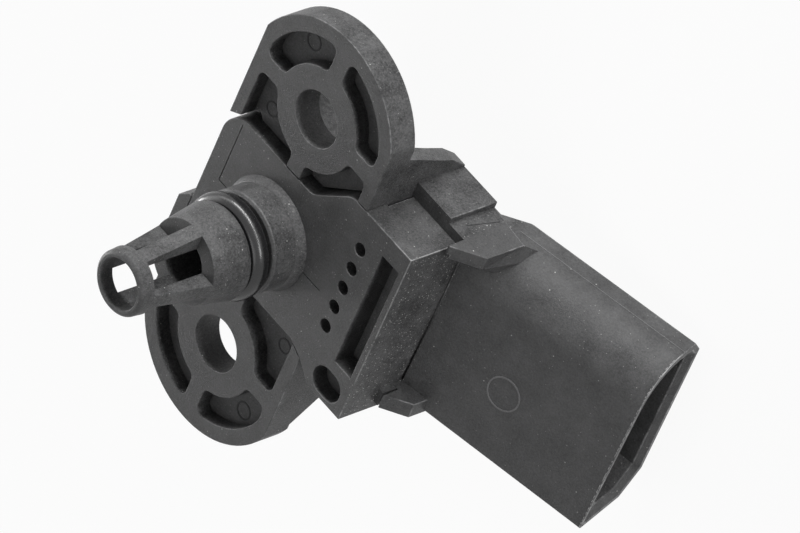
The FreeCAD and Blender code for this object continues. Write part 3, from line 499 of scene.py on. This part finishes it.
def capacitor_ceramic(name):
    material, wire = new_material(name + "_ceramic")
    low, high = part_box(name)
    axis = 0 if high.x - low.x > high.y - low.y else 1
    middle = (low[axis] + high[axis]) / 2
    half = (high[axis] - low[axis]) / 2
    off = wire.math("ABSOLUTE", wire.place().along(axis) - middle)
    cap = off.step(CAP_FROM * half, CAP_FULL * half)
    haze = wire.noise(0.3 * MM, 3.0)
    return surfaced(material, wire, {
        "Base Color": wire.between(cap, (0.33, 0.22, 0.12), (0.62, 0.61, 0.58)),
        "Metallic": cap, "Roughness": 0.38 + 0.1 * (haze - 0.5)})


for number in range(1, 5):
    capacitor = "capacitor_%d" % number
    finish_node(capacitor, capacitor_ceramic(capacitor), edge=0.05 * MM)

# Terminals: blanked and bent from brass strip and tin-plated. Their tails stand in the board's holes,
# with a fillet of solder round each.
tin = plain("tin_plate", (0.62, 0.6, 0.56), 0.3, size=0.4 * MM, metal=1.0, bump=0.004 * MM)
solder = plain("solder", (0.7, 0.7, 0.69), 0.2, size=0.8 * MM, metal=1.0, bump=0.01 * MM)
for number in range(1, 5):
    finish_node("terminal_%d" % number, tin)
    finish_node("solder_%d" % number, solder)

# Thermistor: a bead of black epoxy over the sensing element, held up in the nozzle by its two nickel
# wires, which run down to the board.
bead_epoxy = plain("bead_epoxy", (0.012, 0.012, 0.013), 0.25, bump=0.01 * MM)
finish_node("ntc_bead", bead_epoxy)
nickel = plain("wire_nickel", (0.5, 0.48, 0.44), 0.32, metal=1.0)
for number in (1, 2):
    finish_node("ntc_lead_%d" % number, nickel)

# Floor: a pale sheet under the sensor's lowest corner. It is white to the camera and in reflections,
# and keeps a share of the sensor's shadow.
FLOOR_HALF = 1.5
FLOOR_WHITE = 0.85
SHADOW_SHARE = 0.07
WHITE = (1, 1, 1, 1)
floor_shape = bmesh.new()
bmesh.ops.create_grid(floor_shape, x_segments=1, y_segments=1, size=FLOOR_HALF)
bmesh.ops.translate(floor_shape, vec=(0, 0, cad_box[0].z), verts=floor_shape.verts)
floor_mesh = bpy.data.meshes.new("floor")
floor_shape.to_mesh(floor_mesh)
floor_shape.free()
floor = bpy.data.objects.new("floor", floor_mesh)
bpy.context.scene.collection.objects.link(floor)


def seen(wire):
    """1 where a ray of light comes from the camera, a reflection or a clear piece."""
    camera, glossy, clear = [wire.add("ShaderNodeLightPath", out=ray)
                             for ray in ("Is Camera Ray", "Is Glossy Ray", "Is Transmission Ray")]
    return wire.math("MAXIMUM", wire.math("MAXIMUM", camera, glossy), clear)


floor_white, wire = new_material("floor_white")
paper = wire.add("ShaderNodeBsdfDiffuse", {"Color": (FLOOR_WHITE, FLOOR_WHITE, FLOOR_WHITE, 1)})
glow = wire.add("ShaderNodeEmission", {"Color": WHITE, "Strength": 1.0})
sheet = wire.add("ShaderNodeMixShader", {0: seen(wire) * (1 - SHADOW_SHARE), 1: paper, 2: glow})
wire.add("ShaderNodeOutputMaterial", {"Surface": sheet})
floor_mesh.materials.append(floor_white)

# Light: a dim room, white where it is seen, and soft boxes round the sensor. Most of them stand low, so
# that its pockets stay dark, and the strongest stand beside the upper ear.
ROOM = 0.12
LAMP_AWAY = 0.8
world = bpy.data.worlds.new("room")
bpy.context.scene.world = world
world.use_nodes = True
world.node_tree.nodes.clear()
sky = Wire(world.node_tree)
room = sky.add("ShaderNodeBackground", {"Color": WHITE, "Strength": ROOM + (1 - ROOM) * seen(sky)})
sky.add("ShaderNodeOutputWorld", {"Surface": room})


def soft_box(name, azimuth, height, light, wide=0.4, high=0.4):
    """A soft box that aims at the sensor, from these angles in degrees, and gives it this much light."""
    across, up = math.radians(azimuth), math.radians(height)
    way = Vector((math.cos(across) * math.cos(up), math.sin(across) * math.cos(up), math.sin(up)))
    lamp = bpy.data.lights.new(name, "AREA")
    lamp.shape = "RECTANGLE"
    lamp.size = wide
    lamp.size_y = high
    lamp.energy = light * math.pi * LAMP_AWAY ** 2
    box = bpy.data.objects.new(name, lamp)
    box.location = way * LAMP_AWAY
    box.rotation_mode = "QUATERNION"
    box.rotation_quaternion = way.to_track_quat("Z", "Y")
    bpy.context.scene.collection.objects.link(box)


soft_box("right_low", azimuth=30, height=5, light=1.05, high=0.12)
soft_box("right_key", azimuth=60, height=4, light=0.75, high=0.1)
soft_box("key", azimuth=90, height=3, light=1.8, high=0.08)
soft_box("left_key", azimuth=120, height=3, light=1.8, high=0.08)
soft_box("left_low", azimuth=150, height=7, light=0.4, high=0.2)
soft_box("left", azimuth=180, height=18, light=0.45)
soft_box("back_low", azimuth=210, height=6, light=1.8, high=0.2)
soft_box("right", azimuth=0, height=70, light=0.33)
soft_box("back", azimuth=240, height=70, light=0.18)
soft_box("top", azimuth=0, height=87, light=0.33)

# Camera: the photograph's, a long lens looking down at the nozzle's side of the flange, rolled so that
# the socket hangs to the lower right. The image is 800 by 533.
CAMERA_PLACE = Vector((513.44, 771.54, 752.09)) * MM
CAMERA_RIGHT = Vector((0.6104, 0.3197, -0.7247))
CAMERA_UP = Vector((-0.6713, 0.6944, -0.2591))
LENS = 480.7
FILM_WIDTH = 36
view = bpy.data.cameras.new("photo_camera")
view.lens = LENS
view.sensor_width = FILM_WIDTH
view.clip_start = 0.05
view.clip_end = 10
camera = bpy.data.objects.new("photo_camera", view)
turn = Matrix((CAMERA_RIGHT, CAMERA_UP, CAMERA_RIGHT.cross(CAMERA_UP))).transposed().to_4x4()
camera.matrix_world = Matrix.Translation(CAMERA_PLACE) @ turn
bpy.context.scene.collection.objects.link(camera)
bpy.context.scene.camera = camera
bpy.context.scene.view_settings.view_transform = "Standard"
